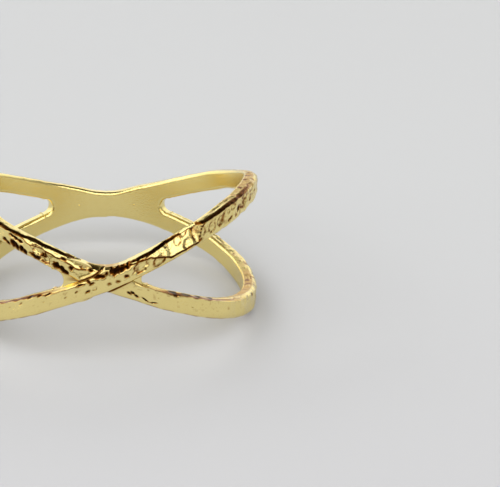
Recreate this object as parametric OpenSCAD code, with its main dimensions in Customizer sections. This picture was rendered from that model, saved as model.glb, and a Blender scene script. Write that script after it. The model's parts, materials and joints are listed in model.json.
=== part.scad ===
// Crossover ring, cast in one piece: two flat bands that run round the finger,
// cross at the front and at the back, and bow apart at both sides. The ring is
// drawn as it lies on its side, with the middle of the finger hole at the
// origin and the front towards -Y. Millimetres, angles in degrees.

/* [Finger] */
// Diameter of the finger hole, a common women's size
finger_d = 17.3; // [14:0.1:22]

/* [Bands] */
// Thickness of the metal at the front crossing
wall_front = 0.7; // [0.5:0.02:1.6]
// Thickness of the metal at the two sides
wall_side = 0.86; // [0.7:0.02:1.6]
// Thickness of the metal at the back crossing
wall_back = 0.94; // [0.7:0.02:1.6]
// Height of a band's face at the front
face_front = 1.24; // [0.9:0.02:2]
// Height of a band's face at the sides
face_side = 1.36; // [0.9:0.02:2]
// Height of a band's face at the back
face_back = 1.24; // [0.9:0.02:2]
// Radius that softens the long outer edges of a band
edge_r = 0.24; // [0.1:0.01:0.3]

/* [Crossing] */
// Bow of the bands at the sides, from the middle of the ring to a band's centre line
bow = 3.49; // [2.6:0.05:4.4]
// Steepness of the front crossing, as the bow that such a slope would give
bow_front = 3.76; // [2.6:0.05:4.6]
// Steepness of the back crossing, as the bow that such a slope would give
bow_back = 2.3; // [1.8:0.05:3.6]
// How far the over band stands proud of the under band where it crosses in front
step_up = 0.28; // [0.1:0.02:0.5]
// How far the flush plate of the back crossing lies below the middle
back_drop = 0.14; // [0:0.02:0.4]
// Depth of the smooth fill in the notch above the front crossing
notch_front = 0.26; // [0.02:0.01:0.4]
// Depth of the smooth fill in the notch above the back crossing
notch_top = 0.15; // [0.02:0.01:0.4]
// Depth of the smooth fill in the notch below the back crossing
notch_low = 0.33; // [0.02:0.01:0.4]
// Radius of the metal that fills the corners of the front crossing
fillet_front = 0.5; // [0.4:0.05:0.9]
// Radius of the metal that fills the corners of the back crossing
fillet_back = 0.6; // [0.4:0.05:1.2]

/* [Hammered face] */
// How far the over band's upper edge is worn down at the right
worn_right = 0.17; // [0:0.01:0.3]
// How far the under band's upper edge is worn down at the left
worn_left = 0.2; // [0:0.01:0.3]
// Height of the low, uneven waves in the faces
hammer_depth = 0.035; // [0:0.005:0.06]
// How much the long edges wander, as a share of the face
edge_wander = 0.025; // [0:0.005:0.05]
// Strength of the dents in the two tables below
dent_gain = 1; // [0:0.1:1.4]

/* [Hidden] */

finger_r = finger_d / 2;
// Sections round the ring, and the angle from one to the next
stations = 120;
turn = 360 / stations;
// The sweep reaches this far into the finger hole, which is bored out afterwards
bore_spare = 0.2;
// The corner fillets end this far inside the bands' own edges and faces
seat = 0.12;

// Dents of the over band. ang is the angle round the ring, with 270 in front;
// up is the place across the face, from -1 at its lower edge to 1 at its upper
// one; long and high are the dent's half lengths as shares of the face's
// height, and deep is a share of the wall.
//   ang    up   long  high  deep
OVER_DENTS = [
    [238,  0.40, 0.30, 0.25, 0.06],
    [252,  0.60, 0.25, 0.20, 0.10],
    [259,  0.45, 0.22, 0.20, 0.10],
    [263,  0.90, 0.55, 0.28, 0.20],
    [270,  0.80, 0.40, 0.30, 0.16],
    [275,  0.95, 0.60, 0.28, 0.34],
    [282,  0.40, 0.38, 0.30, 0.22],
    [288,  0.30, 0.30, 0.28, 0.12],
    [300,  0.45, 0.30, 0.25, 0.14],
    [305,  0.30, 0.48, 0.42, 0.16],
    [312,  0.30, 0.25, 0.22, 0.12],
    [317,  0.40, 0.25, 0.22, 0.10],
    [326,  0.10, 0.45, 0.50, 0.10],
];

// Dents of the under band, in the same columns
UNDER_DENTS = [
    [235,  0.05, 0.35, 0.30, 0.16],
    [239, -0.05, 0.45, 0.28, 0.20],
    [246,  0.55, 0.30, 0.26, 0.14],
    [250,  0.05, 0.32, 0.30, 0.16],
    [255, -0.35, 0.40, 0.26, 0.24],
    [261,  0.75, 0.25, 0.22, 0.14],
    [282, -0.15, 0.35, 0.24, 0.16],
    [294,  0.95, 0.60, 0.26, 0.22],
    [308,  0.00, 0.60, 0.50, 0.07],
    [322, -0.20, 0.55, 0.50, 0.08],
    [345,  0.20, 0.40, 0.40, 0.10],
];

// A size that changes round the ring, from its values in front, at the sides
// and at the back: the one parabola in the sine of the angle through all three
function around(front, side, back, ang) =
    side + (back - front) / 2 * sin(ang) + ((front + back) / 2 - side) * pow(sin(ang), 2);

// 1 in the middle of the front, falling to nothing within about 45 degrees
function near_front(ang) = exp(-pow((ang - 270) / 27, 2));

function wall(ang) = around(wall_front, wall_side, wall_back, ang);
function face(ang) = around(face_front, face_side, face_back, ang);

// Height of a band's centre line. rise is 1 for the over band, which climbs to
// the right, and -1 for the under band.
function centre_z(ang, rise) =
    rise * cos(ang) * around(bow_front, bow, bow_back, ang) - back_drop * pow(max(0, sin(ang)), 4);

// How far an outer notch of the crossings is filled at an angle: the two edges
// blend where their heights differ by less than four times the fill
function notch(ang, fill) =
    let (apart = 2 * abs(cos(ang)) * around(bow_front, bow, bow_back, ang))
    fill > 0 ? fill * pow(max(0, 1 - apart / 4 / fill), 2) : 0;

// Wear of a band's upper edge: the over band's is deepest a little behind the
// right side, and the under band's halfway from the left side to the front
function worn(ang, rise) =
    rise > 0 ? worn_right * exp(-pow(((ang + 160) % 360 - 178) / 16, 2))
             : worn_left * exp(-pow((ang - 228) / 14, 2));

// Low waves that close on themselves after one turn
function waves(ang, up, rise) =
    (sin(23 * ang + 70 * up * rise) + sin(37 * ang - 110 * up) + sin(14 * ang + 160 * up + 90 * rise)) / 3;
function wander(ang, edge, rise) =
    (sin(17 * ang + 50 * edge) + sin(29 * ang + 130 * rise * edge)) / 2;

// One dent's share of its depth at a place on the face
function hollow(d, ang, up) =
    let (along = (ang - d[0]) / 57.3 * finger_r / (d[2] * face(ang)),
         across = (up - d[1]) / 2 / d[3])
    d[4] * exp(-along * along - across * across);
function total(v, i = 0) = i < len(v) ? v[i] + total(v, i + 1) : 0;
function dented(dents, ang, up) =
    min(0.45, dent_gain * total([for (d = dents) if (abs(ang - d[0]) < 15) hollow(d, ang, up)]));

// How far a place on a band's face lies from the finger hole's wall
function face_out(ang, up, rise, dents) =
    wall(ang) * (1 - dented(dents, ang, up)) + (rise > 0 ? step_up * near_front(ang) : 0)
    + hammer_depth * waves(ang, up, rise);

// One section, upwards from the lower edge: each point is the distance out
// from the finger hole's wall and the height
function section(ang, rise, dents) =
    let (z = centre_z(ang, rise),
         top = face(ang) / 2 * (1 + edge_wander * wander(ang, 1, rise))
             + notch(ang, sin(ang) > 0 ? notch_top : notch_front) - worn(ang, rise),
         low = -face(ang) / 2 * (1 + edge_wander * wander(ang, -1, rise))
             - notch(ang, sin(ang) > 0 ? notch_low : 0),
         out_low = face_out(ang, -0.9, rise, dents),
         out_top = face_out(ang, 0.9, rise, dents))
    [[-bore_spare, z + low],
     [out_low - edge_r, z + low],
     [out_low - 0.3 * edge_r, z + low + 0.3 * edge_r],
     [face_out(ang, -0.7, rise, dents), z + low + edge_r],
     [face_out(ang, -0.25, rise, dents), z + 0.25 * low],
     [face_out(ang, 0.25, rise, dents), z + 0.25 * top],
     [face_out(ang, 0.7, rise, dents), z + top - edge_r],
     [out_top - 0.3 * edge_r, z + top - 0.3 * edge_r],
     [out_top - edge_r, z + top],
     [-bore_spare, z + top]];

// A closed loop of sections, all with the same number of points
module swept_loop(sections) {
    n = len(sections);
    k = len(sections[0]);
    polyhedron(
        points = [for (i = [0:n - 1], p = sections[i])
            [(finger_r + p[0]) * cos(i * turn), (finger_r + p[0]) * sin(i * turn), p[1]]],
        faces = [for (i = [0:n - 1], j = [0:k - 1], half = [0, 1])
            let (a = i * k + j, b = i * k + (j + 1) % k,
                 c = (i + 1) % n * k + j, d = (i + 1) % n * k + (j + 1) % k)
            half == 0 ? [a, b, d] : [a, d, c]]
    );
}

module band(rise, dents) {
    swept_loop([for (i = [0:stations - 1]) section(i * turn, rise, dents)]);
}

// Outline of both bands near a crossing, seen from the front
module crossing_outline(middle) {
    reach = 33;
    r = finger_r + wall(middle) / 2;
    for (rise = [-1, 1])
        polygon(concat(
            [for (a = [-reach:turn:reach])
                [r * cos(middle + a), centre_z(middle + a, rise) - face(middle + a) / 2]],
            [for (a = [reach:-turn:-reach])
                [r * cos(middle + a), centre_z(middle + a, rise) + face(middle + a) / 2]]
        ));
}

// Metal that rounds the four corners of a crossing
module corner_web(middle, fillet) {
    depth = finger_r + wall(middle);
    intersection() {
        rotate([90, 0, 0])
            translate([0, 0, middle == 270 ? 0 : -depth])
                linear_extrude(height = depth)
                    offset(r = -(fillet + seat), $fn = 40)
                        offset(r = fillet, $fn = 40)
                            crossing_outline(middle);
        difference() {
            cylinder(r = depth - 2 * seat, h = 4 * bow, center = true, $fn = 160);
            cylinder(r = finger_r - bore_spare / 2, h = 5 * bow, center = true, $fn = 160);
        }
    }
}

// The ring rolls back on its two lower arcs until its middle lies over them.
// The front is the thinner side, so it comes to rest this far behind the middle.
foot_back = 0.12;
arc_slope = ((bow_front - bow_back) / 2 + (face_front - face_back) / 4) / finger_r;
arc_bend = (3 * bow - bow_front - bow_back) / pow(finger_r, 2);
lean = atan((arc_slope + arc_bend * foot_back) / (1 - (bow + face_side / 2) * arc_bend));

module crossover_band() {
    color("#D8CC8A")
        rotate([-lean, 0, 0])
            difference() {
                union() {
                    band(-1, UNDER_DENTS);
                    band(1, OVER_DENTS);
                    corner_web(270, fillet_front);
                    corner_web(90, fillet_back);
                }
                cylinder(r = finger_r, h = 6 * bow, center = true, $fn = 160);
            }
}

crossover_band();
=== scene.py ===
# %% [markdown]
# A crossover ring in gold plated brass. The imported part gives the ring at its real
# size, lying on its side as it rests. This lesson dresses it: it models the one
# casting again as a fine mesh with its hammered and pitted faces, gives it a gold
# finish, and sets up a pale floor, soft light and the camera.

# %% Load the fixed frame
import json
import math

import bmesh
import bpy
import numpy as np
from mathutils import Matrix, Vector


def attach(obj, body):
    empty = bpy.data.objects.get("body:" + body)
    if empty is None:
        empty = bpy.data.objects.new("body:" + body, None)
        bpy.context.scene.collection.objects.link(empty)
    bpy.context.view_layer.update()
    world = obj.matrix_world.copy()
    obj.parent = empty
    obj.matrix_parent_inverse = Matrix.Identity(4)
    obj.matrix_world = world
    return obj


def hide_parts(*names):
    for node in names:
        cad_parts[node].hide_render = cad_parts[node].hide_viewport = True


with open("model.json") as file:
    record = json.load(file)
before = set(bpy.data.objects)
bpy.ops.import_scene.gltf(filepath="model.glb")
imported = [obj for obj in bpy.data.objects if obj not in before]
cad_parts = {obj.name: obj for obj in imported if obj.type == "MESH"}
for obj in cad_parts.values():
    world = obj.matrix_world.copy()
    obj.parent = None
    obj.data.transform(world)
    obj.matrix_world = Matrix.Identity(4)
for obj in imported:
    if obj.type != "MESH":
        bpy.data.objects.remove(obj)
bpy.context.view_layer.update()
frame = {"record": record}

MM = 0.001
NODE = "crossover_band"
finger = next(m for m in frame["record"]["mounts"] if m["name"] == "finger")

# %% [markdown]
# The sizes are those of the part's source, in millimetres. The finger hole and the
# way the ring leans where it lies come from the frame. A size that changes round
# the ring has three values, in front, at the sides and at the back, and one
# parabola in the sine of the angle runs through all three. Angles run round the
# ring from +X, so 270 degrees is the middle of the front.

# %% Sizes of the two bands
FINGER_R = finger["dims"]["r_mm"]
LEAN = math.atan2(finger["axis"][1], finger["axis"][2])
WALL = (0.70, 0.86, 0.94)
FACE = (1.24, 1.36, 1.24)
BOW = (3.76, 3.49, 2.3)
BACK_DROP = 0.14
STEP_UP = 0.28
NOTCH_FRONT, NOTCH_TOP, NOTCH_LOW = 0.26, 0.15, 0.33
WORN_RIGHT, WORN_LEFT = 0.17, 0.2
OVER, UNDER = 1, -1


def around(sizes, ang):
    """A size at an angle, from its values in front, at the sides and at the back."""
    front, side, back = sizes
    s = np.sin(ang)
    return side + (back - front) / 2 * s + ((front + back) / 2 - side) * s**2


def half_face(ang):
    """Half the height of a band's face."""
    return around(FACE, ang) / 2


def centre_z(ang, rise):
    """Height of a band's centre line over the middle of the ring."""
    drop = BACK_DROP * np.clip(np.sin(ang), 0, 1) ** 4
    return rise * np.cos(ang) * around(BOW, ang) - drop


def notch(ang, front, back):
    """How far an outer notch of the two crossings is filled where the edges blend."""
    apart = 2 * np.abs(np.cos(ang)) * around(BOW, ang)
    fill = np.where(np.sin(ang) > 0, back, front) + 1e-6
    return fill * np.clip(1 - apart / 4 / fill, 0, None) ** 2


def nearness(ang, middle, width):
    """1 at an angle in degrees, falling to nothing within about 1.7 widths."""
    off = np.degrees(np.angle(np.exp(1j * (ang - math.radians(middle)))))
    return np.exp(-((off / width) ** 2))


def worn(ang, rise):
    """Wear of a band's upper edge: the over band's at the right, the under band's at the left."""
    return WORN_RIGHT * nearness(ang, 18, 16) if rise == OVER else WORN_LEFT * nearness(ang, 228, 14)


def near_front(ang):
    """1 in the middle of the front, falling to nothing within about 45 degrees."""
    return nearness(ang, 270, 27)


def wall_out(ang, rise):
    """Thickness of a band's wall. In front the over band stands proud."""
    return around(WALL, ang) + (STEP_UP * near_front(ang) if rise == OVER else 0)


print(f"finger hole {2 * FINGER_R:.1f} mm, ring leans back {math.degrees(LEAN):.1f} degrees")

# %% [markdown]
# The faces of a hammered and cast ring are never one smooth curve. Three layers
# make them up here. Broad hammer marks are shallow bowls, and where two bowls meet
# a soft ridge stands. Low noise gives the skin of the casting. The single pits,
# craters and creases that catch the eye are charted in two tables.

# %% Noise that closes round the ring
ROUND_MM = 2 * math.pi * (FINGER_R + WALL[1])


def value_noise(along, across, cell, seed):
    """Smooth noise from -1 to 1, with lumps about one cell wide, in millimetres."""
    rng = np.random.default_rng(seed)
    columns = max(4, round(ROUND_MM / cell))
    rows = 64
    grid = rng.uniform(-1, 1, (columns, rows))
    u = along / ROUND_MM * columns
    v = across / cell + rows / 2
    i, j = np.floor(u).astype(int), np.floor(v).astype(int)
    fu, fv = u - i, v - j
    fu, fv = fu * fu * (3 - 2 * fu), fv * fv * (3 - 2 * fv)
    i0, i1 = i % columns, (i + 1) % columns
    j0, j1 = j % rows, (j + 1) % rows
    low = grid[i0, j0] * (1 - fu) + grid[i1, j0] * fu
    high = grid[i0, j1] * (1 - fu) + grid[i1, j1] * fu
    return low * (1 - fv) + high * fv


def layered_noise(along, across, layers, shift=0):
    """Sum of several noises. A layer is its height, the size of its lumps and its seed."""
    return sum(high * value_noise(along, across, size, seed + shift) for high, size, seed in layers)


def way_round(ang):
    """Distance round the ring in millimetres, from an angle."""
    return ang / (2 * math.pi) * ROUND_MM


# %% Hammer marks
HAMMER_STEP = 1.15
HAMMER_RADIUS = 5.5
HAMMER_DEEPEST = 0.05
HAMMER_SEED = 31


def hammer_marks(along, across, seed):
    """Overlapping shallow bowls: the height of the lowest one at each place."""
    rng = np.random.default_rng(seed)
    count = round(ROUND_MM / HAMMER_STEP)
    height = np.zeros_like(along)
    for k in range(count):
        at = (k + rng.uniform(-0.35, 0.35)) * ROUND_MM / count
        up = rng.uniform(-0.6, 0.6)
        deep = rng.uniform(0.5, 1) * HAMMER_DEEPEST
        reach = (along - at + ROUND_MM / 2) % ROUND_MM - ROUND_MM / 2
        bowl = (reach**2 + (across - up) ** 2) / (2 * HAMMER_RADIUS) - deep
        height = np.minimum(height, bowl)
    return height


# %% [markdown]
# Each row of the two charts is one mark. ang is the angle round the ring in
# degrees, and up is the place across the face, from -1 at the lower edge to 1 at
# the upper one. long and high are half lengths and deep is the depth, in
# millimetres. turn tilts the mark in degrees, and rim is the height of the lip
# round it as a share of its depth. A mark with a high rim is a cell: flat inside,
# with a dark outline of painted shade. The others are pits, painted dark right through as shade.

# %% The charted marks of the over band
#    ang    up     long  high  deep  turn  rim
OVER_MARKS = [
    (233.0, 0.30, 0.06, 0.05, 0.03, 0, 0.0),
    (238.0, 0.45, 0.12, 0.06, 0.04, 20, 0.0),
    (242.0, 0.84, 0.17, 0.06, 0.07, 10, 0.0),
    (246.0, 0.78, 0.14, 0.06, 0.07, 10, 0.0),
    (249.5, 0.72, 0.20, 0.05, 0.08, 15, 0.0),
    (247.5, 0.10, 0.06, 0.04, 0.03, 0, 0.0),
    (250.5, 0.00, 0.06, 0.04, 0.02, 0, 0.0),
    (256.0, -0.05, 0.08, 0.04, 0.03, 0, 0.0),
    (260.0, 0.15, 0.08, 0.05, 0.05, 0, 0.0),
    (261.3, 0.66, 0.24, 0.05, 0.07, -5, 0.0),
    (264.3, 0.68, 0.16, 0.06, 0.09, -45, 0.0),
    (266.6, -0.15, 0.13, 0.09, 0.03, 0, 1.0),
    (264.0, -0.20, 0.13, 0.07, 0.07, 0, 0.0),
    (265.5, 0.40, 0.12, 0.06, 0.08, 0, 0.0),
    (268.0, 0.65, 0.36, 0.09, 0.12, -25, 0.0),
    (270.5, 0.60, 0.09, 0.08, 0.09, 0, 0.0),
    (271.5, -0.20, 0.13, 0.07, 0.045, -20, 0.0),
    (273.5, 0.70, 0.28, 0.20, 0.18, 0, 0.3),
    (274.5, -0.30, 0.15, 0.07, 0.045, -25, 0.2),
    (277.5, -0.15, 0.16, 0.08, 0.06, -25, 0.2),
    (277.2, 0.70, 0.34, 0.17, 0.24, 4, 0.0),
    (282.5, 0.10, 0.42, 0.33, 0.09, 4, 0.7),
    (284.0, 0.85, 0.40, 0.18, 0.06, 8, 0.5),
    (289.5, -0.20, 0.38, 0.28, 0.05, 15, 0.6),
    (293.0, 0.66, 0.16, 0.11, 0.03, 0, 0.8),
    (298.0, 0.45, 0.24, 0.22, 0.035, 0, 0.8),
    (301.5, -0.20, 0.30, 0.24, 0.05, 10, 0.7),
    (301.0, 0.72, 0.26, 0.16, 0.03, 10, 0.6),
    (306.5, 0.10, 0.42, 0.46, 0.05, 0, 0.5),
    (312.5, 0.05, 0.27, 0.26, 0.05, 0, 0.8),
    (313.5, 0.65, 0.15, 0.13, 0.04, 0, 0.8),
    (317.0, 0.05, 0.27, 0.25, 0.06, 0, 0.9),
    (319.5, 0.62, 0.10, 0.10, 0.06, 0, 0.5),
    (322.0, 0.35, 0.12, 0.12, 0.03, 0, 0.5),
    (323.0, -0.35, 0.20, 0.08, 0.05, 20, 0.0),
    (325.0, 0.45, 0.22, 0.18, 0.05, 0, 0.8),
    (329.0, -0.10, 0.20, 0.07, 0.07, 30, 0.0),
    (332.5, 0.05, 0.42, 0.28, 0.06, 0, 0.5),
    (339.0, -0.05, 0.30, 0.20, 0.05, 0, 0.5),
    (346.0, 0.00, 0.20, 0.14, 0.06, 0, 0.2),
    (353.0, 0.30, 0.20, 0.15, 0.05, 0, 0.2),
    (3.0, -0.20, 0.25, 0.15, 0.06, 0, 0.2),
]

# %% The charted marks of the under band
#    ang    up     long  high  deep  turn  rim
UNDER_MARKS = [
    (226.0, 0.10, 0.20, 0.10, 0.08, 20, 0.2),
    (231.5, -0.45, 0.15, 0.10, 0.10, -25, 0.2),
    (232.8, -0.62, 0.15, 0.10, 0.11, -25, 0.2),
    (234.5, 0.50, 0.18, 0.11, 0.12, -30, 0.2),
    (236.1, 0.36, 0.17, 0.15, 0.12, -30, 0.2),
    (238.0, 0.25, 0.16, 0.15, 0.12, -25, 0.2),
    (235.0, -0.38, 0.17, 0.17, 0.13, -30, 0.2),
    (236.7, -0.46, 0.16, 0.17, 0.13, -30, 0.2),
    (238.5, -0.48, 0.17, 0.17, 0.13, -30, 0.2),
    (240.2, -0.58, 0.15, 0.14, 0.12, -20, 0.2),
    (243.5, -0.52, 0.18, 0.16, 0.12, -20, 0.2),
    (245.2, -0.50, 0.16, 0.14, 0.11, -20, 0.2),
    (246.0, 0.26, 0.50, 0.26, 0.13, -10, 0.6),
    (248.2, -0.25, 0.28, 0.27, 0.13, 0, 0.8),
    (252.5, -0.40, 0.20, 0.17, 0.12, 0, 0.2),
    (254.2, -0.44, 0.18, 0.16, 0.12, 0, 0.2),
    (255.7, -0.60, 0.19, 0.12, 0.13, -8, 0.2),
    (255.0, 0.55, 0.16, 0.08, 0.08, 0, 0.0),
    (257.8, 0.05, 0.10, 0.16, 0.09, -20, 0.0),
    (262.0, 0.68, 0.22, 0.20, 0.10, 0, 0.9),
    (265.0, 0.55, 0.14, 0.09, 0.07, 0, 0.3),
    (278.6, -0.30, 0.10, 0.07, 0.07, -30, 0.3),
    (280.0, -0.18, 0.14, 0.08, 0.10, -25, 0.3),
    (281.2, -0.36, 0.13, 0.07, 0.09, -30, 0.3),
    (284.6, -0.46, 0.22, 0.035, 0.08, -25, 0.0),
    (287.6, -0.52, 0.22, 0.035, 0.07, 15, 0.0),
    (285.5, 0.60, 0.06, 0.05, 0.03, 0, 0.0),
    (289.5, 0.10, 0.07, 0.04, 0.02, 0, 0.0),
    (296.0, 0.92, 0.36, 0.13, 0.13, 0, 0.0),
    (301.5, 0.97, 0.30, 0.06, 0.07, 0, 0.0),
    (307.0, 0.98, 0.22, 0.06, 0.07, 0, 0.0),
    (313.0, 0.98, 0.22, 0.06, 0.07, 0, 0.0),
    (303.0, 0.05, 0.12, 0.10, 0.02, 0, 0.0),
    (322.0, 0.10, 0.10, 0.10, 0.03, 0, 0.0),
    (327.0, -0.10, 0.25, 0.30, 0.02, 0, 0.0),
    (344.0, 0.60, 0.12, 0.10, 0.08, 0, 0.2),
    (352.0, 0.10, 0.14, 0.12, 0.08, 0, 0.3),
    (0.5, 0.30, 0.14, 0.12, 0.07, 0, 0.3),
    (7.0, 0.55, 0.16, 0.12, 0.08, 0, 0.3),
    (14.0, 0.20, 0.20, 0.15, 0.08, 0, 0.3),
]

MARKS = {OVER: OVER_MARKS, UNDER: UNDER_MARKS}
print(len(OVER_MARKS), "marks on the over band,", len(UNDER_MARKS), "on the under band")

# %% How a charted mark sinks the face
# A mark with at least this rim is a cell
CELL_RIM = 0.5
# Where rim and outline run and how wide they are, in the mark's own half lengths
RIM_AT, RIM_WIDE = 1.3, 0.2
OUTLINE_AT, OUTLINE_WIDE = 0.95, 0.18
RIM_SHARE = 0.4
NO_RIM_IN = 0.05
# Darkness of the shade painted on a cell's outline and in patches inside it
OUTLINE_DARK, CELL_DARK = 0.5, 0.35
# How far the marks' edges stray, in half lengths, at most
CELL_RAGGED, PIT_RAGGED = 0.16, 0.5
# Layers of noise as height, lump size in mm and seed: one strays the edges of the
# marks, and the other breaks up the painted shade in the cells
RAGGED = [(1, 0.14, 7), (0.7, 0.09, 8)]
PATCHY = [(1, 0.20, 10), (0.5, 0.08, 12)]


def charted(marks, along, across, half):
    """Depth of the marks, height of their rims in millimetres, and painted shade in them from 0 to 1."""
    ragged = layered_noise(along, across, RAGGED)
    patchy = layered_noise(along, across, PATCHY)
    depth = np.zeros_like(along)
    lip = np.zeros_like(along)
    residue_and_shade = np.zeros_like(along)
    for at, up, long, high, deep, turn, rim in marks:
        x = (along - at / 360 * ROUND_MM + ROUND_MM / 2) % ROUND_MM - ROUND_MM / 2
        y = across - up * half
        c, s = math.cos(math.radians(turn)), math.sin(math.radians(turn))
        r = np.hypot((c * x + s * y) / long, (c * y - s * x) / high)
        cell = rim >= CELL_RIM
        r = np.maximum(r + (CELL_RAGGED if cell else min(PIT_RAGGED, 3 * high)) * ragged, 0)
        depth = np.maximum(depth, deep * np.exp(-(r ** (6 if cell else 3))))
        lip = np.maximum(lip, rim * deep * RIM_SHARE * np.exp(-(((r - RIM_AT) / RIM_WIDE) ** 2)))
        # Painted shade: along a cell's outline and in patches inside it, or through a whole pit, darker
        # the deeper the pit
        if cell:
            outline = OUTLINE_DARK + 6 * max(0, deep - 0.08)
            outline = outline * np.exp(-(((r - OUTLINE_AT) / OUTLINE_WIDE) ** 2))
            dark = outline * np.clip(0.7 + patchy, 0.2, 1) + CELL_DARK * (r < 0.9) * np.clip(patchy, 0, 1)
        else:
            dark = min(1, max(0, deep - 0.02) / 0.05) * np.exp(-((r / 1.1) ** 4))
        residue_and_shade = np.maximum(residue_and_shade, dark)
    return depth, lip * (depth < NO_RIM_IN), residue_and_shade


# %% [markdown]
# Along the upper part of both faces the metal breaks back into a ledge that looks
# up at the light. It is what shines white on the real ring. Two short tables, one
# for each band, give its shape round the ring. start is the place across the face
# where the ledge begins, from -1 to 1, and slope is its share of the full slope.
# crease is the depth of the crease along its start and the darkness of the shade
# painted in that crease and on the chamfer above it, and round is the depth in
# millimetres of that chamfer, or of the rounded edge where there is no ledge. A tall
# ledge is broken into facets, with painted shade in the lines between them.

# %% The bright ledges
LEDGE_SLOPE = 0.84
# How far the ledge's start wanders, and over what distance, in millimetres
LEDGE_WANDER, WANDER_MM = 0.04, 0.35
FACET_MM, FACET_DEEP = 0.32, 0.013
# The lines between facets and the crease at a ledge's start carry painted shade; the last value of each
# line is its darkness
FACET_LINE, FACET_SHADE = 0.07, 0.35
CREASE_DEEP, CREASE_WIDE, CREASE_SHADE = 0.025, 0.038, 0.7
#    ang  start slope crease round
OVER_LEDGE = [
    (200, 0.95, 0.0, 0.0, 0.34), (222, 0.92, 1.0, 0.6, 0.20), (236, 0.88, 1.0, 1.0, 0.22),
    (245, 0.88, 1.0, 1.0, 0.22), (247, 0.76, 1.0, 0.8, 0.20),
    (258, 0.70, 1.0, 0.2, 0.20), (268, 0.68, 1.0, 0.0, 0.24), (272, 0.76, 1.0, 0.4, 0.20),
    (279, 0.72, 1.0, 1.0, 0.14), (284, 0.62, 0.8, 1.2, 0.13), (286, 0.50, 0.74, 1.4, 0.14),
    (292, -0.25, 0.74, 1.6, 0.15), (294, -0.45, 0.74, 1.6, 0.15), (301, -0.55, 0.74, 1.6, 0.16),
    (306.5, -0.62, 0.74, 1.6, 0.18), (308, 0.60, 0.9, 1.4, 0.20), (309.5, 0.90, 1.0, 0.8, 0.20),
    (320, 0.86, 1.0, 1.0, 0.20), (334, 0.88, 1.0, 1.0, 0.21), (342, 0.92, 0.6, 0.6, 0.28),
    (352, 0.95, 0.0, 0.0, 0.34),
]
UNDER_LEDGE = [
    (200, 0.95, 0.0, 0.0, 0.34), (222, 0.84, 1.0, 1.0, 0.13), (236, 0.84, 1.0, 1.0, 0.13),
    (239.5, 0.80, 1.0, 1.0, 0.13), (241, 0.48, 1.0, 0.8, 0.13), (243.5, 0.42, 1.0, 0.8, 0.13),
    (247, 0.55, 1.0, 1.0, 0.13), (250, 0.50, 1.0, 1.0, 0.13), (252, 0.40, 1.0, 1.0, 0.13),
    (255, 0.44, 1.0, 1.0, 0.14), (257.5, 0.35, 1.0, 1.0, 0.30), (259, 0.15, 1.0, 1.0, 0.28),
    (260.5, 0.20, 1.0, 1.0, 0.28), (264, 0.55, 0.8, 0.6, 0.30), (268, 0.60, 0.4, 0.3, 0.30),
    (280, 0.86, 0.3, 0.2, 0.16), (286, 0.80, 1.0, 0.4, 0.16), (290, 0.82, 1.0, 0.5, 0.20),
    (294, 0.80, 1.7, 1.0, 0.20), (300, 0.88, 1.7, 1.0, 0.20), (330, 0.92, 0.5, 0.5, 0.30),
    (340, 0.95, 0.0, 0.0, 0.34),
]
LEDGES = {OVER: OVER_LEDGE, UNDER: UNDER_LEDGE}


def ledge_row(table, degrees):
    """The four values of a ledge at an angle: its start, slope, crease and round."""
    rows = np.array(table, float)
    return tuple(np.interp(degrees, rows[:, 0], rows[:, k]) for k in (1, 2, 3, 4))


def ledge(table, degrees, across, half):
    """How far the face falls back on its ledge, the shade painted in its crease and between its facets,
    and the ledge's share.
    """
    start, share, crease = ledge_row(table, degrees)[:3]
    start = start * half + LEDGE_WANDER * value_noise(degrees / 360 * ROUND_MM, 0 * across, WANDER_MM, 5)
    over = across - start
    line = crease * np.exp(-((over / CREASE_WIDE) ** 2))
    on_it = np.clip(over / CREASE_WIDE, 0, 1) * np.clip(share, 0, 1)
    fall = share * LEDGE_SLOPE * np.clip(over, 0, None)
    facets = value_noise(degrees / 360 * ROUND_MM, across, FACET_MM, 6)
    fall = fall + FACET_DEEP * on_it * np.abs(facets)
    # Painted shade in the lines between the facets
    cut = np.where(over > FACET_MM / 2, FACET_SHADE * np.exp(-((facets / FACET_LINE) ** 2)), 0) * on_it
    return fall + CREASE_DEEP * line, np.maximum(CREASE_SHADE * line, cut), on_it


# %% [markdown]
# Now the height of the face at any place: the hammer marks, the ledge, the charted
# marks and two sizes of noise. Stretches of the real ring differ, so a short table
# says how rough the casting's skin is round the ring.

# %% One height for each place on a face
#    ang   over  under
ROUGHNESS = [
    (0, 4.5, 4.0), (30, 2.5, 3.6), (60, 0.8, 2.4), (80, 0.4, 0.6), (150, 0.6, 0.6),
    (200, 0.6, 1.0), (235, 0.4, 1.4), (258, 0.6, 1.4), (270, 1.0, 0.8), (285, 1.4, 1.0),
    (300, 1.6, 1.1), (312, 2.4, 1.2), (322, 3.6, 1.4), (345, 4.5, 2.4), (360, 4.5, 4.0),
]
ROUGHEST = 4.5
# The skin's noise as height, lump size in mm and seed, and how far a ledge calms it
SKIN = [(0.010, 0.33, 11), (0.006, 0.15, 21)]
LEDGE_CALM = 0.6
# The under band rises a little to the over band, with painted shade in the crease between
RAMP_HIGH, RAMP_WIDE = 0.12, 0.17
MEETING_AT, MEETING_WIDE, MEETING_SHADE = 0.03, 0.06, 0.75
# Darkening in the skin's hollows and along the lower edge, and residue as flecks
HOLLOW_DARK_DEPTH, HOLLOW_DARKNESS = 0.018, 0.4
FRINGE_WIDE, FRINGE_PATCH_MM, FRINGE_DARKNESS = 0.18, 0.35, 0.5
SPECKLE_MM, SPECKLE_RESIDUE = 0.11, 0.4


def roughness(degrees, rise):
    """How rough the skin is at an angle, in degrees."""
    rows = np.array(ROUGHNESS, float)
    return np.interp(degrees, rows[:, 0], rows[:, 1 if rise == OVER else 2])


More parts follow.
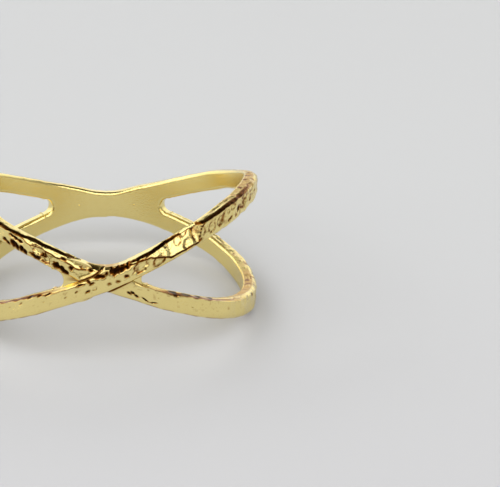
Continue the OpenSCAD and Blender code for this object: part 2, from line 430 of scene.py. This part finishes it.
def past_over_band(ang, across, half):
    """How far a place on the under band lies beyond the over band's nearer edge."""
    return np.abs(centre_z(ang, UNDER) + across - centre_z(ang, OVER)) - half


def meeting_ramp(ang, across, half):
    """Rise of the under band's face where it meets the edges of the over band."""
    apart = past_over_band(ang, across, half)
    return RAMP_HIGH * np.exp(-((apart / RAMP_WIDE) ** 2)) * near_front(ang)


def meeting_line(ang, across, half):
    """Painted shade in the crease where the under band meets the over band."""
    apart = past_over_band(ang, across, half) - MEETING_AT
    return MEETING_SHADE * np.exp(-((apart / MEETING_WIDE) ** 2)) * near_front(ang)


def edge_line_and_flecks(ang, along, up):
    """The thin brown line at a face's lower edge, and fine flecks on its upper half."""
    not_behind = np.clip(0.5 - np.sin(ang), 0, 1)
    fringe = FRINGE_DARKNESS * np.clip(1 - (1 + up) / FRINGE_WIDE, 0, 1)
    fringe = fringe * np.clip(0.6 + value_noise(along, 0 * along, FRINGE_PATCH_MM, 9), 0, 1)
    flecks = value_noise(along, up * half_face(ang), SPECKLE_MM, 14)
    flecks = SPECKLE_RESIDUE * np.clip(3 * flecks - 2, 0, 1) * np.clip(0.5 + 0.5 * up, 0, 1)
    return not_behind * np.maximum(fringe, flecks)


def face_relief(ang, up, rise):
    """Height of a face and its residue and painted shade, at angles and places across it."""
    half = half_face(ang)
    degrees = np.degrees(ang) % 360
    along = degrees / 360 * ROUND_MM
    across = up * half
    rough = roughness(degrees, rise)
    depth, lip, residue_and_shade = charted(MARKS[rise], along, across, half)
    fall, line, on_ledge = ledge(LEDGES[rise], degrees, across, half)
    skin = layered_noise(along, across, SKIN, rise)
    hammer = hammer_marks(along, across, HAMMER_SEED + rise)
    # Darker where the skin's noise is low
    hollow_dark = HOLLOW_DARKNESS * np.clip((-rough * skin - HOLLOW_DARK_DEPTH) / HOLLOW_DARK_DEPTH, 0, 1)
    calm = 1 - LEDGE_CALM * on_ledge
    height = calm * (hammer + rough * skin) - fall - depth + lip
    if rise == UNDER:
        height = height + meeting_ramp(ang, across, half)
        residue_and_shade = np.maximum(residue_and_shade, meeting_line(ang, across, half))
    return height, np.maximum.reduce([residue_and_shade, line, hollow_dark, edge_line_and_flecks(ang, along, up)])


probe = np.linspace(0, 2 * math.pi, 720)
heights = face_relief(probe, 0 * probe, OVER)[0]
print(f"over band's middle line: {heights.min():.2f} to {heights.max():.2f} mm")

# %% [markdown]
# Each band is swept round the ring as one grid of points: a section of four walls
# with rounded corners, carried along the band's path. The sections lie closer
# together in front, where the marks are. A formula for the grid was chosen over
# sculpting because the relief then lands exactly where the charts say. Above a
# ledge the upper outer edge is a low, straight chamfer, and elsewhere it is round.

# %% Sections and stations of the sweep
# Radii of the edges round the finger hole, and of the lower and upper outer edge
INNER_FRONT, INNER_BACK = 0.12, 0.26
LOW_R, TOP_R = 0.30, 0.34
CHAMFER_TALL = 0.12
# Metal left inside the finger hole for the bore, and the least flat of a side wall
BORE_SPARE = 0.008
WALL_LEFT = 0.02
FRONT_STEP, BACK_STEP = 0.36, 0.7
FINE_FROM, FINE_TO = 190, 352
FACE_POINTS = 24
# Layers of noise for the long edges and for the side walls
STRAY = [(0.030, 1.6, 41), (0.012, 0.45, 51)]
SIDE_SKIN = [(0.010, 0.40, 61), (0.006, 0.18, 71)]


def stations():
    """Angles of the sections, closer together over the front."""
    angles, at = [], 0.0
    while at < 360:
        angles.append(at)
        at += FRONT_STEP if FINE_FROM <= at <= FINE_TO else BACK_STEP
    return np.radians(np.array(angles) * 360 / at)


def corner(steps):
    """Turns of a rounded corner, without its two ends."""
    return [math.pi / 2 * k / (steps + 1) for k in range(1, steps + 1)]


def section_plan():
    """Rows of (part, share): the same plan serves every section."""
    plan = [("inner", s) for s in np.linspace(1, -1, 5)]
    plan += [("low_in", t) for t in corner(3)]
    plan += [("low_wall", s) for s in np.linspace(0, 1, 6)]
    plan += [("low_out", t) for t in corner(8)]
    plan += [("face", s) for s in np.linspace(-1, 1, FACE_POINTS)]
    plan += [("top_out", t) for t in corner(8)]
    plan += [("top_wall", s) for s in np.linspace(1, 0, 8)]
    plan += [("top_in", t) for t in corner(3)]
    return plan


def edge_wander(ang, rise, side):
    """How far a long edge strays from its line, in millimetres."""
    return layered_noise(way_round(ang), 0 * ang, STRAY, rise + 10 * side)


def rounding(ang, up, rise):
    """Height, depth and straightness of the nearer outer edge: above a ledge it is a chamfer."""
    slope, _, deep = ledge_row(LEDGES[rise], np.degrees(ang) % 360)[1:]
    straight = np.where(up > 0, np.clip(slope, 0, 1), 0)
    tall = np.where(up > 0, TOP_R + (CHAMFER_TALL - TOP_R) * straight, LOW_R)
    return tall, np.where(up > 0, deep, LOW_R), straight


def inner_rounding(ang):
    """Radius of the edges round the finger hole, softer behind."""
    return INNER_FRONT + (INNER_BACK - INNER_FRONT) * np.clip(2 * np.sin(ang), 0, 1)


def band_edges(ang, rise):
    """Heights of a band's upper and lower edge above and below its centre line."""
    half = half_face(ang)
    top = half + edge_wander(ang, rise, 1) + notch(ang, NOTCH_FRONT, NOTCH_TOP) - worn(ang, rise)
    return top, -half + edge_wander(ang, rise, -1) - notch(ang, 0, NOTCH_LOW)


def sweep_points(rise):
    """Points of one band, as an array of stations by section points by three."""
    ang = stations()
    half = half_face(ang)
    wall = wall_out(ang, rise)
    top, low = band_edges(ang, rise)
    out_top = wall + face_relief(ang, 0 * ang + 1, rise)[0]
    out_low = wall + face_relief(ang, 0 * ang - 1, rise)[0]
    inner = inner_rounding(ang)
    points = []
    for part, s in section_plan():
        if part == "inner":
            u = 0 * ang - BORE_SPARE
            y = np.where(s > 0, top, -low) * s - s * inner
        elif part in ("low_in", "top_in"):
            turn = s if part == "low_in" else math.pi / 2 - s
            u = inner - inner * np.cos(turn) - BORE_SPARE
            edge, sign = (low, 1) if part == "low_in" else (top, -1)
            y = edge + sign * (inner - inner * np.sin(turn))
        elif part in ("low_wall", "top_wall"):
            edge, out, sign = (low, out_low, -1) if part == "low_wall" else (top, out_top, 1)
            u = inner + np.maximum(out - rounding(ang, sign, rise)[1] - inner, WALL_LEFT) * s
            grain = layered_noise(way_round(ang), u, SIDE_SKIN, rise)
            y = edge + grain * roughness(np.degrees(ang), rise) * math.sin(math.pi * s)
        elif part in ("low_out", "top_out"):
            edge, sign = (low, -1) if part == "low_out" else (top, 1)
            turn = s if part == "low_out" else math.pi / 2 - s
            tall, deep, straight = rounding(ang, sign, rise)
            share = 2 * turn / math.pi
            inward = tall * ((1 - straight) * (1 - math.cos(turn)) + straight * share)
            out = wall + face_relief(ang, sign * (1 - inward / half), rise)[0]
            u = out - deep * ((1 - straight) * (1 - math.sin(turn)) + straight * (1 - share))
            u = np.maximum(u, inner + WALL_LEFT + 0.1 * math.sin(turn))
            y = edge - sign * inward
        else:
            tall = rounding(ang, s, rise)[0]
            u = wall + face_relief(ang, s * (1 - tall / half), rise)[0]
            y = np.where(s > 0, top - tall, -low - tall) * s
        radius = FINGER_R + u
        z = centre_z(ang, rise) + y
        points.append(np.stack([radius * np.cos(ang), radius * np.sin(ang), z], axis=-1))
    return np.stack(points, axis=1)


# %% Turn a grid of points into a closed mesh


def closed_grid(name, points, loop=True):
    """A mesh from rings of points: a loop of rings, or a bar with capped ends."""
    n, k, _ = points.shape
    faces = []
    for i in range(n if loop else n - 1):
        i2 = (i + 1) % n
        for j in range(k):
            j2 = (j + 1) % k
            faces.append((i * k + j, i2 * k + j, i2 * k + j2, i * k + j2))
    if not loop:
        faces.append(tuple(range(k)))
        faces.append(tuple((n - 1) * k + j for j in reversed(range(k))))
    mesh = bpy.data.meshes.new(name)
    mesh.from_pydata(points.reshape(-1, 3).tolist(), [], faces)
    mesh.update()
    made = bpy.data.objects.new(name, mesh)
    bpy.context.scene.collection.objects.link(made)
    return made


over_band = closed_grid("over_band_blank", sweep_points(OVER))
under_band = closed_grid("under_band_blank", sweep_points(UNDER))
for made in (over_band, under_band):
    print(made.name, len(made.data.polygons), "faces")

# %% [markdown]
# Molten metal leaves no sharp inside corner, so each of the four corners at both
# crossings is filled to a small radius. The filler is a curved bar: its inner side
# is an arc that meets both bands' edges, and its outer side is buried in the metal.

# %% Fillets in the corners of the crossings
#    middle, way, radius
FILLETS = [(270, -1, 0.58), (270, 1, 0.36), (90, -1, 0.50), (90, 1, 0.50)]
TUCK, FILLET_SUNK, FILLET_LIP = 0.006, 0.13, 0.1
MID_WALL = 0.4
# The fillet's place is looked for this far from the crossing, in radians
SEARCH_FROM, SEARCH_TO, SEARCH_STEPS = 0.02, 0.7, 800
ARC_FROM, ARC_TO, ARC_STEPS = 80, 280, 33


def edge_line(ang, rise, side):
    """Height of a band's upper or lower edge."""
    return centre_z(ang, rise) + side * half_face(ang) + edge_wander(ang, rise, side)


def fillet_centre(middle, way, radius):
    """Where a circle of a radius fits between the two edges of a side gap."""
    ang = math.radians(middle) + way * np.linspace(SEARCH_FROM, SEARCH_TO, SEARCH_STEPS)
    upper, lower = (OVER, UNDER) if math.cos(ang[-1]) > 0 else (UNDER, OVER)
    roof, sill = edge_line(ang, upper, -1), edge_line(ang, lower, 1)
    run = (FINGER_R + MID_WALL) * np.gradient(ang) * way
    tilt = np.arctan((np.gradient(roof) - np.gradient(sill)) / 2 / run)
    room = (roof - sill) / 2 * np.cos(tilt)
    k = int(np.argmax(room > radius))
    return ang[k], (roof[k] + sill[k]) / 2, (np.gradient(roof) + np.gradient(sill))[k] / 2 / run[k]


def fillet_bar(middle, way, radius, name):
    """The filler of one corner, as a closed bar along its arc."""
    at, height, drift = fillet_centre(middle, way, radius)
    out = around(WALL, np.array(at)) - FILLET_SUNK
    bore, lip, inner = FINGER_R - BORE_SPARE, FILLET_LIP, float(inner_rounding(at))
    rings = []
    for turn in np.radians(np.linspace(ARC_FROM, ARC_TO, ARC_STEPS)):
        ring = []
        deep = radius * (1.6 + 2.2 * max(0.0, -math.cos(turn)) ** 4)
        profile = [(deep, 0), (inner, 0)]
        profile += [(inner - inner * math.sin(t), inner - inner * math.cos(t)) for t in corner(3)]
        profile += [(0, inner), (0, out - lip)]
        profile += [(lip - lip * math.cos(t), out - lip + lip * math.sin(t)) for t in corner(3)]
        profile += [(lip, out), (deep, out)]
        for back, u in profile:
            reach = radius + TUCK + back
            x, y = reach * math.cos(turn), reach * math.sin(turn)
            ang = at + way * x / (FINGER_R + MID_WALL)
            ring.append([(bore + u) * math.cos(ang), (bore + u) * math.sin(ang), height + y + drift * x])
        rings.append(ring)
    return closed_grid(name, np.array(rings), loop=False)


fillets = []
for middle, way, radius in FILLETS:
    fillets.append(fillet_bar(middle, way, radius, f"fillet_blank_{middle}_{way + 1}"))
print(len(fillets), "fillets")

# %% [markdown]
# The pieces of the casting are joined by boolean unions, which leave the crisp step
# where the over band stands on the under band. Then one true cylinder opens the
# finger hole, so its wall is as smooth as the polished real one.

# %% Join the casting and bore it
BORE_SIDES, BORE_END = 1080, 9


def combine(base, tool, operation):
    """One boolean, applied at once; the tool is deleted."""
    step = base.modifiers.new("combine", "BOOLEAN")
    step.operation = operation
    step.object = tool
    step.solver = "MANIFOLD"
    graph = bpy.context.evaluated_depsgraph_get()
    mesh = bpy.data.meshes.new_from_object(base.evaluated_get(graph))
    base.modifiers.clear()
    base.data = mesh
    bpy.data.objects.remove(tool)


def outward(made):
    """Turn a closed mesh's faces to look out."""
    bm = bmesh.new()
    bm.from_mesh(made.data)
    bmesh.ops.recalc_face_normals(bm, faces=bm.faces)
    if bm.calc_volume(signed=True) < 0:
        bmesh.ops.reverse_faces(bm, faces=bm.faces)
    bm.to_mesh(made.data)
    bm.free()


def bore_blank():
    """The cylinder that cuts the finger hole."""
    turn = np.arange(BORE_SIDES) / BORE_SIDES * 2 * math.pi
    x, y = FINGER_R * np.cos(turn), FINGER_R * np.sin(turn)
    ends = [np.stack([x, y, 0 * turn + z], -1) for z in (-BORE_END, BORE_END)]
    return closed_grid("bore_blank", np.array(ends), loop=False)


ring = under_band
for made in [ring, over_band] + fillets:
    outward(made)
for made in [over_band] + fillets:
    combine(ring, made, "UNION")
bore = bore_blank()
outward(bore)
combine(ring, bore, "DIFFERENCE")
print("joined:", len(ring.data.vertices), "points,", len(ring.data.polygons), "faces")

# %% [markdown]
# Three facts about each point of the mesh steer the finish: how much dark residue
# and painted shade lies there, whether it is on a side wall, and how grainy the skin
# is. They come from the same formulas as the shape and are stored as point
# attributes, so the material needs no image and no unwrapping.

# %% Store where the pits and walls are
# A point this near a face's height lies on it, in millimetres
ON_FACE = 0.05
# Darkness of the dark reflection painted along the chamfer above a ledge
CHAMFER_SHADE = 0.45
SIDE_RESIDUE = 0.5
STEEP_FROM, STEEP_WIDE = 0.955, 0.035
SPOTS = [(1, 0.30, 81), (0.6, 0.13, 82)]


def face_facts(ang, radius, z, rise):
    """Residue and painted shade on a band's face, and how grainy the skin is, at points of the mesh."""
    half = half_face(ang)
    y = z - centre_z(ang, rise)
    top, low = band_edges(ang, rise)
    edge = np.where(y > 0, top, -low)
    tall, deep, straight = rounding(ang, y, rise)
    inward = edge - np.abs(y)
    bend = np.clip(1 - inward / tall, 0, 1)
    on_flat = np.abs(y) / (edge - tall) * (1 - tall / half)
    up = np.where(bend > 0, 1 - inward / half, on_flat) * np.sign(y)
    grainy = (np.abs(up) < 1.15) * roughness(np.degrees(ang), rise) / ROUGHEST
    height, dark = face_relief(ang, np.clip(up, -1, 1), rise)
    crease = ledge_row(LEDGES[rise], np.degrees(ang))[2]
    # A painted dark reflection along the chamfer above a ledge
    chamfer = (up > 0) * CHAMFER_SHADE * crease * np.clip(5 * bend * (1 - bend), 0, 1)
    drop = deep * ((1 - straight) * (1 - np.sqrt(1 - bend**2)) + straight * bend)
    off = np.abs(radius - FINGER_R - wall_out(ang, rise) - height + drop)
    return np.where((np.abs(up) < 1) & (off < ON_FACE), np.maximum(dark, chamfer), 0), grainy


def store_facts(made):
    """Point attributes for residue with painted shade, for side walls and for grain, each from 0 to 1."""
    mesh = made.data
    co = np.array([v.co for v in mesh.vertices])
    ang = np.arctan2(co[:, 1], co[:, 0]) % (2 * math.pi)
    radius = np.hypot(co[:, 0], co[:, 1])
    on_bands = [face_facts(ang, radius, co[:, 2], rise) for rise in (UNDER, OVER)]
    residue_and_shade, grainy = (np.maximum(*pair) for pair in zip(*on_bands))
    steep = np.array([abs(n.vector.z) for n in mesh.vertex_normals])
    side = np.clip((steep - STEEP_FROM) / STEEP_WIDE, 0, 1)
    wall = side * np.clip(1.2 - 2.4 * np.sin(ang), 0, 1)
    spots = layered_noise(way_round(ang), radius - FINGER_R, SPOTS)
    spots = np.clip(2 * grainy - 0.7, 0, 1) * np.clip(-2 * spots - 0.2, 0, 1)
    residue_and_shade = np.maximum(residue_and_shade, SIDE_RESIDUE * side * spots)
    for name, values in (("residue_and_shade", residue_and_shade), ("wall", wall), ("grainy", grainy)):
        layer = mesh.attributes.new(name, "FLOAT", "POINT")
        layer.data.foreach_set("value", values.astype(np.float32))
    return residue_and_shade, wall, grainy


facts = store_facts(ring)
# The first mean is of residue and painted shade together
print("mean of residue, wall and grain:", [round(float(f.mean()), 3) for f in facts])

# %% Smooth the faces, and make the bored wall look truly round
BORE_TOUCH = 0.002
FOLD_DEGREES = 50


def smooth_ring(made):
    """Smooth shading with sharp folds, and exact normals on the bored wall."""
    mesh = made.data
    mesh.polygons.foreach_set("use_smooth", [True] * len(mesh.polygons))
    mesh.set_sharp_from_angle(angle=math.radians(FOLD_DEGREES))
    normals = [Vector(n.vector) for n in mesh.corner_normals]
    for poly in mesh.polygons:
        if all(mesh.vertices[v].co.xy.length < FINGER_R + BORE_TOUCH for v in poly.vertices):
            for corner_index in poly.loop_indices:
                co = mesh.vertices[mesh.loops[corner_index].vertex_index].co
                normals[corner_index] = Vector((-co.x, -co.y, 0)).normalized()
    mesh.normals_split_custom_set(normals)


smooth_ring(ring)

# %% Lay the ring down as it rests, in metres
ring.data.transform(Matrix.Scale(MM, 4) @ Matrix.Rotation(-LEAN, 4, "X"))
ring.name = ring.data.name = "crossover_ring_cast"
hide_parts(NODE)
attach(ring, "root")
print("laid down:", ring.name)

# %% [markdown]
# The finish is thin gold plating over cast brass. Gold is a metal, so its colour is
# in its reflections: pale greenish yellow where it mirrors the grey table once, and
# deeper orange where light bounces twice between the bands. The hammered faces and
# the bored hole were polished. The side walls kept a fine matte skin that looks
# paler and pinker. Painted shade darkens the deepest pits, the creases and the
# chamfers above the ledges, brown where it is faint, beside brown residue on the
# skin. The grain of the skin is too fine to show at this size and is drawn coarser.

# %% Colours, and one helper for shader nodes


def linear(hex_code):
    """An sRGB hex colour as linear red, green, blue and alpha."""
    parts = [int(hex_code[i:i + 2], 16) / 255 for i in (1, 3, 5)]
    return tuple(c / 12.92 if c <= 0.04045 else ((c + 0.055) / 1.055) ** 2.4 for c in parts) + (1.0,)


def add_node(tree, kind, links=None, values=None, **settings):
    """Add a shader node, set its properties and its sockets' values, and link its inputs."""
    node = tree.nodes.new(kind)
    for key, value in settings.items():
        setattr(node, key, value)
    for key, value in (values or {}).items():
        node.inputs[key].default_value = value
    for key, source in (links or {}).items():
        tree.links.new(source, node.inputs[key])
    return node


# %% Gold plating
POLISHED_GOLD = "#F5E195"
MATTE_GOLD = "#D2AC66"
# Brown where faint and near black where strong: painted shade in pits, creases and crossings, and residue
# on the skin
THIN_RESIDUE_AND_SHADE = "#8A4E08"
DEEP_SHADE_AND_RESIDUE = "#241003"
POLISH_ROUGH, MATTE_ROUGH, SATIN_ROUGH = 0.12, 0.3, 0.12
LEAST_SPREAD, MOST_SPREAD = 0.75, 1.35
BROWN_AT, BLACK_FROM, BLACK_AT = 0.45, 0.4, 0.8
GRAIN_MM, GRAIN_DEEP_MM, LEAST_GRAIN = 0.10, 0.02, 0.5
BLOTCH_MM = 0.9
# Places of a colour Mix node's two colours among its inputs, and of its result
FIRST, SECOND, MIXED = 6, 7, 2


def gold_plating():
    """Gold plated cast brass: polished faces, matte walls, and painted shade with some residue in the pits
    and creases.
    """
    made = bpy.data.materials.new("gold_plated_cast_brass")
    made.use_nodes = True
    tree = made.node_tree
    tree.nodes.clear()
    place = add_node(tree, "ShaderNodeTexCoord").outputs["Object"]
    residue_and_shade = add_node(tree, "ShaderNodeAttribute", attribute_name="residue_and_shade").outputs["Fac"]
    wall = add_node(tree, "ShaderNodeAttribute", attribute_name="wall").outputs["Fac"]
    grainy = add_node(tree, "ShaderNodeAttribute", attribute_name="grainy").outputs["Fac"]

    # Painted shade and residue: brown where faint, then near black
    brown = add_node(tree, "ShaderNodeMapRange", {"Value": residue_and_shade}, {"From Max": BROWN_AT})
    limits = {"From Min": BLACK_FROM, "From Max": BLACK_AT}
    black = add_node(tree, "ShaderNodeMapRange", {"Value": residue_and_shade}, limits)
    golds = {FIRST: linear(POLISHED_GOLD), SECOND: linear(MATTE_GOLD)}
    skin = add_node(tree, "ShaderNodeMix", {"Factor": wall}, golds, data_type="RGBA")
    links = {"Factor": brown.outputs["Result"], FIRST: skin.outputs[MIXED]}
    tinted = add_node(tree, "ShaderNodeMix", links, {SECOND: linear(THIN_RESIDUE_AND_SHADE)}, data_type="RGBA")
    links = {"Factor": black.outputs["Result"], FIRST: tinted.outputs[MIXED]}
    colour = add_node(tree, "ShaderNodeMix", links, {SECOND: linear(DEEP_SHADE_AND_RESIDUE)}, data_type="RGBA")

    pattern = {"Scale": 1 / (BLOTCH_MM * MM), "Detail": 2}
    blotch = add_node(tree, "ShaderNodeTexNoise", {"Vector": place}, pattern).outputs["Fac"]
    limits = {"To Min": LEAST_SPREAD, "To Max": MOST_SPREAD}
    spread = add_node(tree, "ShaderNodeMapRange", {"Value": blotch}, limits)
    limits = {"To Min": POLISH_ROUGH, "To Max": MATTE_ROUGH}
    rough = add_node(tree, "ShaderNodeMapRange", {"Value": wall}, limits)
    satin = add_node(tree, "ShaderNodeMapRange", {"Value": grainy}, {"To Max": SATIN_ROUGH})
    links = {0: rough.outputs["Result"], 1: spread.outputs["Result"], 2: satin.outputs["Result"]}
    uneven = add_node(tree, "ShaderNodeMath", links, operation="MULTIPLY_ADD")

    pattern = {"Scale": 1 / (GRAIN_MM * MM), "Detail": 3}
    grain = add_node(tree, "ShaderNodeTexNoise", {"Vector": place}, pattern).outputs["Fac"]
    pressed = add_node(tree, "ShaderNodeMapRange", {"Value": grainy}, {"To Min": LEAST_GRAIN})
    links = {"Height": grain, "Strength": pressed.outputs["Result"]}
    bump = add_node(tree, "ShaderNodeBump", links, {"Distance": GRAIN_DEEP_MM * MM})

    links = {"Base Color": colour.outputs[MIXED], "Roughness": uneven.outputs["Value"]}
    links["Normal"] = bump.outputs["Normal"]
    shader = add_node(tree, "ShaderNodeBsdfPrincipled", links, {"Metallic": 1.0})
    add_node(tree, "ShaderNodeOutputMaterial", {"Surface": shader.outputs["BSDF"]})
    return made


ring.data.materials.clear()
ring.data.materials.append(gold_plating())
print("finish:", ring.data.materials[0].name)

# %% [markdown]
# The ring lies on a plain pale floor, with painted shade that makes it a shade greyer towards the viewer.
# It is large, so that it fills the reflections in the faces as well as the picture.

# %% Floor
FLOOR_SIDE = 3.0
PAPER_ROUGH, PAPER_GLOSS = 0.9, 0.2
# Painted shade: the floor's colour turns darker towards the viewer
FLOOR_FAR, FLOOR_NEAR = "#AFB0B1", "#ADADAF"
NEAR_Y, FAR_Y = -0.045, 0.025


def pale_floor():
    """A big flat floor just under the ring's lowest point."""
    low = min(v.co.z for v in ring.data.vertices)
    mesh = bpy.data.meshes.new("studio_floor")
    s = FLOOR_SIDE / 2
    mesh.from_pydata([(-s, -s, low), (s, -s, low), (s, s, low), (-s, s, low)], [], [(0, 1, 2, 3)])
    floor = bpy.data.objects.new("studio_floor", mesh)
    bpy.context.scene.collection.objects.link(floor)
    paint = bpy.data.materials.new("matte_pale_paper")
    paint.use_nodes = True
    tree = paint.node_tree
    shader = tree.nodes["Principled BSDF"]
    place = add_node(tree, "ShaderNodeTexCoord").outputs["Object"]
    depth = add_node(tree, "ShaderNodeSeparateXYZ", {"Vector": place}).outputs["Y"]
    limits = {"From Min": NEAR_Y, "From Max": FAR_Y}
    share = add_node(tree, "ShaderNodeMapRange", {"Value": depth}, limits, interpolation_type="SMOOTHSTEP")
    tones = {FIRST: linear(FLOOR_NEAR), SECOND: linear(FLOOR_FAR)}
    tone = add_node(tree, "ShaderNodeMix", {"Factor": share.outputs["Result"]}, tones, data_type="RGBA")
    tree.links.new(tone.outputs[MIXED], shader.inputs["Base Color"])
    shader.inputs["Roughness"].default_value = PAPER_ROUGH
    shader.inputs["Specular IOR Level"].default_value = PAPER_GLOSS
    mesh.materials.append(paint)
    return floor


floor = pale_floor()
print(f"floor at {floor.data.vertices[0].co.z / MM:.2f} mm")

# %% [markdown]
# Polished metal shows only what it mirrors, so the lights are large soft panels and
# their places matter more than their strength. A panel high in front and a lower one
# shine in the ledges and the lips of the marks, and one at the left gives the shadows
# their way. Four low fills that the metal does not mirror soften the shadows.

# %% Soft panels


def soft_panel(name, size, azimuth, elevation, distance, power, mirrored):
    """A rectangular area light that looks at the ring. A mirrored one shows in the metal."""
    a, e = math.radians(azimuth), math.radians(elevation)
    back = Vector((math.sin(a) * math.cos(e), -math.cos(a) * math.cos(e), math.sin(e)))
    data = bpy.data.lights.new(name, "AREA")
    data.shape = "RECTANGLE"
    data.size, data.size_y = size
    data.energy = power
    made = bpy.data.objects.new(name, data)
    made.location = back * distance
    made.rotation_mode = "QUATERNION"
    made.rotation_quaternion = back.to_track_quat("Z", "Y")
    made.visible_glossy = mirrored
    bpy.context.scene.collection.objects.link(made)


#    name, width, height, azimuth, elevation, distance, power, mirrored
PANELS = [
    ("front_panel", 1.9, 0.50, -5, 66, 0.8, 4.9, True),
    ("low_panel", 1.9, 0.45, -5, 39, 0.8, 1.8, True),
    ("side_panel", 0.9, 0.6, -115, 42, 1.0, 1.7, True),
]
FILLS = [(f"fill_{azimuth}", 1.2, 0.6, azimuth, 26, 1.0, 5.0, False) for azimuth in (45, 135, 225, 315)]
for name, wide, high, *rest in PANELS + FILLS:
    soft_panel(name, (wide, high), *rest)
print(len(PANELS), "panels and", len(FILLS), "fills")

# %% [markdown]
# The rest of the light is the room itself. It is pale behind the ring and dim in
# front, where the camera stands, and dim overhead too. The dim front draws the dark
# outlines of the pits and ledges, and the dim ceiling the dark line along the
# upper edges. The dim parts are brown, so that these lines are brown and not olive.

# %% The room
#    height (sine), brightness in front to the left, in front to the right, behind
ROOM = [
    (0.0, 0.06, 0.20, 0.55), (0.45, 0.08, 0.20, 0.65), (0.64, 0.08, 0.12, 0.22),
    (0.78, 0.03, 0.03, 0.03), (1.0, 0.01, 0.01, 0.01),
]
ROOM_STRENGTH = 2.0
DIM_BELOW = 0.1
DIM_BROWN = (1.25, 0.95, 0.4)
WHITE_WAY, RIGHT_WAY = (-0.5, 0.85, 0.0), (1.0, 0.0, 0.0)
TURN_FROM, TURN_TO = -0.35, 0.25


def room_ramp(tree, height, column):
    """A colour ramp over the height, from one column of the room's table."""
    ramp = add_node(tree, "ShaderNodeValToRGB", {"Fac": height})
    steps = ramp.color_ramp.elements
    while len(steps) < len(ROOM):
        steps.new(0.5)
    for step, row in zip(steps, ROOM):
        step.position = row[0]
        tint = DIM_BROWN if row[column] < DIM_BELOW else (1, 1, 1)
        step.color = [row[column] * share for share in tint] + [1]
    return ramp.outputs["Color"]


def turned_mix(tree, way, toward, first, second):
    """Mix two colours over the half of the room that lies toward a direction."""
    along = add_node(tree, "ShaderNodeVectorMath", {0: way}, {1: toward}, operation="DOT_PRODUCT")
    limits = {"From Min": TURN_FROM, "From Max": TURN_TO}
    share = add_node(tree, "ShaderNodeMapRange", {"Value": along.outputs["Value"]}, limits)
    links = {"Factor": share.outputs["Result"], FIRST: first, SECOND: second}
    return add_node(tree, "ShaderNodeMix", links, data_type="RGBA").outputs[MIXED]


def studio_room():
    """A world that is pale behind the ring and dim in front and overhead."""
    world = bpy.data.worlds.new("studio_room")
    bpy.context.scene.world = world
    world.use_nodes = True
    tree = world.node_tree
    way = add_node(tree, "ShaderNodeTexCoord").outputs["Generated"]
    height = add_node(tree, "ShaderNodeSeparateXYZ", {"Vector": way}).outputs["Z"]
    left, right, behind = (room_ramp(tree, height, column) for column in (1, 2, 3))
    front = turned_mix(tree, way, RIGHT_WAY, left, right)
    glow = tree.nodes["Background"]
    tree.links.new(turned_mix(tree, way, WHITE_WAY, front, behind), glow.inputs["Color"])
    glow.inputs["Strength"].default_value = ROOM_STRENGTH


studio_room()
bpy.context.scene.view_settings.view_transform = "Standard"
print("room:", len(ROOM), "heights")

# %% [markdown]
# The camera was solved from the ring's outline in the photograph: its distance, its
# angles to the ring and how far the ring sits from the middle of the picture. It is
# given in the ring's own frame and then turned with the ring's lean.

# %% Camera
CAMERA_MM = 120.3
CAMERA_AZIMUTH, CAMERA_ELEVATION, CAMERA_ROLL = -4.0, 16.25, 0.46
RING_LEFT_MM, RING_UP_MM = 9.07, 0.38
FRAME_WIDE = 500
PIXELS_PER_MM = 15.9
SENSOR_MM = 36.0
CLIP_NEAR, CLIP_FAR = 0.005, 10


def aim_camera():
    """The photograph's camera, turned with the ring's lean."""
    a, e, roll = (math.radians(v) for v in (CAMERA_AZIMUTH, CAMERA_ELEVATION, CAMERA_ROLL))
    back = Vector((math.sin(a) * math.cos(e), -math.cos(a) * math.cos(e), math.sin(e)))
    right = (-back).cross(Vector((0, 0, 1))).normalized()
    up = right.cross(-back)
    roll_on = Matrix.Rotation(roll, 3, back)
    right, up = roll_on @ right, roll_on @ up
    place = back * CAMERA_MM + right * RING_LEFT_MM - up * RING_UP_MM
    turn = Matrix((right, up, back)).transposed().to_4x4()
    lay = Matrix.Rotation(-LEAN, 4, "X")
    data = bpy.data.cameras.new("camera")
    data.sensor_width = SENSOR_MM
    data.lens = PIXELS_PER_MM * CAMERA_MM / FRAME_WIDE * SENSOR_MM
    data.clip_start, data.clip_end = CLIP_NEAR, CLIP_FAR
    made = bpy.data.objects.new("camera", data)
    made.matrix_world = lay @ Matrix.Translation(place * MM) @ turn
    bpy.context.scene.collection.objects.link(made)
    bpy.context.scene.camera = made
    return made


camera = aim_camera()
print(f"camera: {camera.data.lens:.0f} mm lens")
